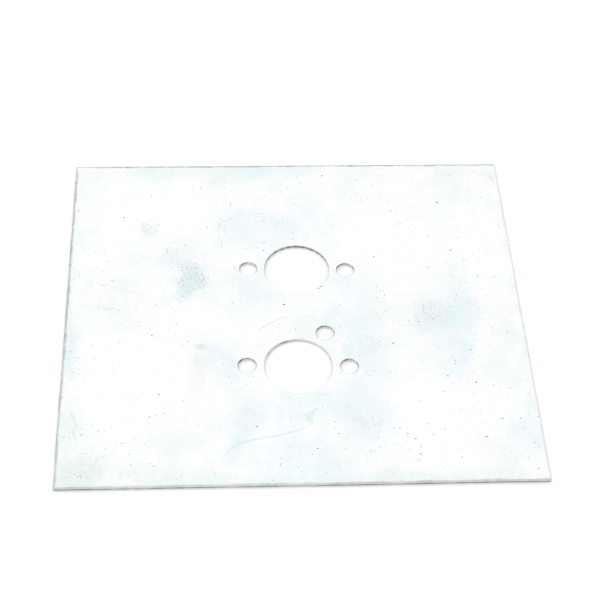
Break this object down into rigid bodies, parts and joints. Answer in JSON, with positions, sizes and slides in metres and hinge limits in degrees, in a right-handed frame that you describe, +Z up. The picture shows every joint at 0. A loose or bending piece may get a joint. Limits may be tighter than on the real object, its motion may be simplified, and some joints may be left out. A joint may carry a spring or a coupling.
{
  "type": "rectangular cover plate",
  "caption": "Flat rectangular sheet-steel cover plate with round pipe holes in line, stud holes beside each pipe hole and a small line hole.",
  "frame": {"origin": "centre of the bottom face", "axes": "+X along the long edges, +Y to the back edge, +Z up out of the top face"},
  "size_m": [0.22, 0.2, 0.0015],
  "materials": {
    "zinc_plated_steel": "pale zinc plate with a blue-green passivate haze, fine scratches and specks"
  },
  "bodies": {
    "root": {"cover_plate": "zinc_plated_steel"}
  },
  "joints": []
}
